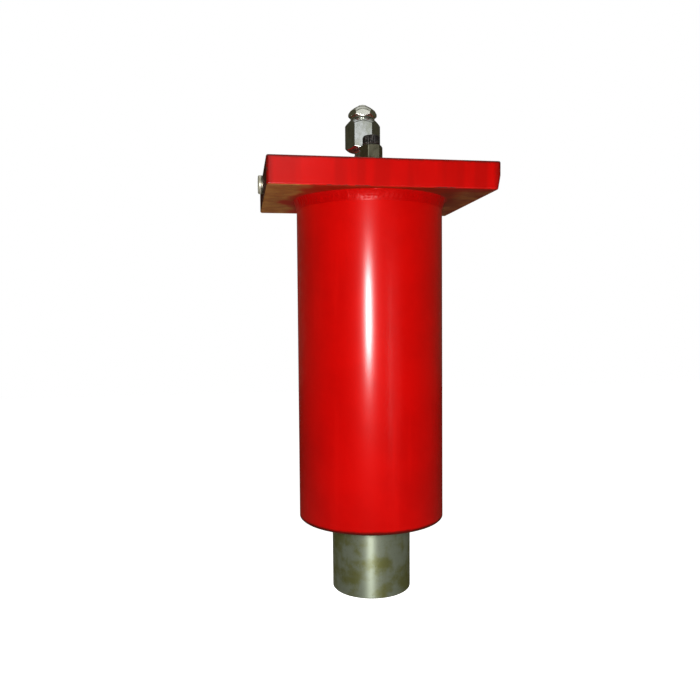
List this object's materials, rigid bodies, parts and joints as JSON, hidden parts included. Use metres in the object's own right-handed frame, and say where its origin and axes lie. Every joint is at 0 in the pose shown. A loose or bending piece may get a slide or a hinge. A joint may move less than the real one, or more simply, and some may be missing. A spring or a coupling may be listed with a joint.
{
  "type": "telescopic hydraulic cylinder",
  "caption": "Telescopic hydraulic cylinder with a welded rectangular flange plate, a hidden intermediate stage, a plunger, a quick coupler, a bleed valve and a side port plug.",
  "frame": {"origin": "centre of the ram's free end face, with every stage retracted", "axes": "+Z along the bore axis, from the ram's free end to the fittings; +X along the long side of the flange plate, away from the side port plug; +Y along its short side, towards the coupler"},
  "size_m": [0.2097, 0.158, 0.4715],
  "materials": {
    "red_paint": "gloss enamel, with the plate's underside left bare",
    "ground_steel": "ground and hard-chromed, dulled by handling",
    "turned_steel": "turned, lightly oiled",
    "nickel_steel": "nickel plated",
    "black_steel": "black oxide",
    "spring_steel": "phosphated spring steel",
    "bronze": "machined bearing bronze",
    "nitrile": "moulded, satin",
    "polyurethane": "moulded, satin",
    "phenolic": "machined fabric laminate"
  },
  "bodies": {
    "barrel_assembly": {"flange_plate": "red_paint", "barrel_weld": "red_paint", "barrel_tube": "red_paint", "barrel_gland": "turned_steel", "barrel_wiper": "polyurethane", "barrel_rod_seal": "nitrile", "barrel_guide_ring": "phenolic", "barrel_gland_o_ring": "nitrile", "gland_lock_screw": "black_steel", "coupler_seal_washer": "turned_steel", "coupler_adapter": "nickel_steel", "coupler_body": "nickel_steel", "coupler_spring_seat": "turned_steel", "coupler_spring": "spring_steel", "bleed_seal_washer": "turned_steel", "bleed_valve_body": "nickel_steel", "side_plug_washer": "turned_steel", "side_plug": "nickel_steel"},
    "stage_one": {"stage_one_tube": "ground_steel", "stage_one_gland": "turned_steel", "stage_one_wiper": "polyurethane", "stage_one_rod_seal": "nitrile", "stage_one_guide_ring": "phenolic", "stage_one_gland_o_ring": "nitrile", "stage_one_bearing": "bronze", "stage_one_wear_ring": "phenolic", "stage_one_lower_snap_ring": "spring_steel", "stage_one_upper_snap_ring": "spring_steel"},
    "plunger": {"plunger": "ground_steel", "plunger_bearing": "bronze", "plunger_wear_ring": "phenolic", "plunger_lower_snap_ring": "spring_steel", "plunger_upper_snap_ring": "spring_steel"},
    "coupler_poppet": {"coupler_poppet": "nickel_steel"},
    "bleed_screw": {"bleed_screw": "black_steel"}
  },
  "joints": [
    {"name": "stage_one_slide", "type": "slide", "parent": "barrel_assembly", "child": "stage_one", "axis": [0, 0, -1], "range_m": [0, 0.22]},
    {"name": "plunger_slide", "type": "slide", "parent": "stage_one", "child": "plunger", "axis": [0, 0, -1], "range_m": [0, 0.22]},
    {"name": "coupler_poppet_press", "type": "slide", "parent": "barrel_assembly", "child": "coupler_poppet", "axis": [0, 0, -1], "range_m": [0, 0.004], "stiffness_N_per_m": 1000, "springref_m": -0.003, "deforming": ["coupler_spring"]},
    {"name": "bleed_screw_turn", "type": "hinge", "parent": "barrel_assembly", "child": "bleed_screw", "pos_m": [-0.001, -0.018, 0.43], "axis": [0, 0, 1], "range_deg": [0, 360]}
  ]
}
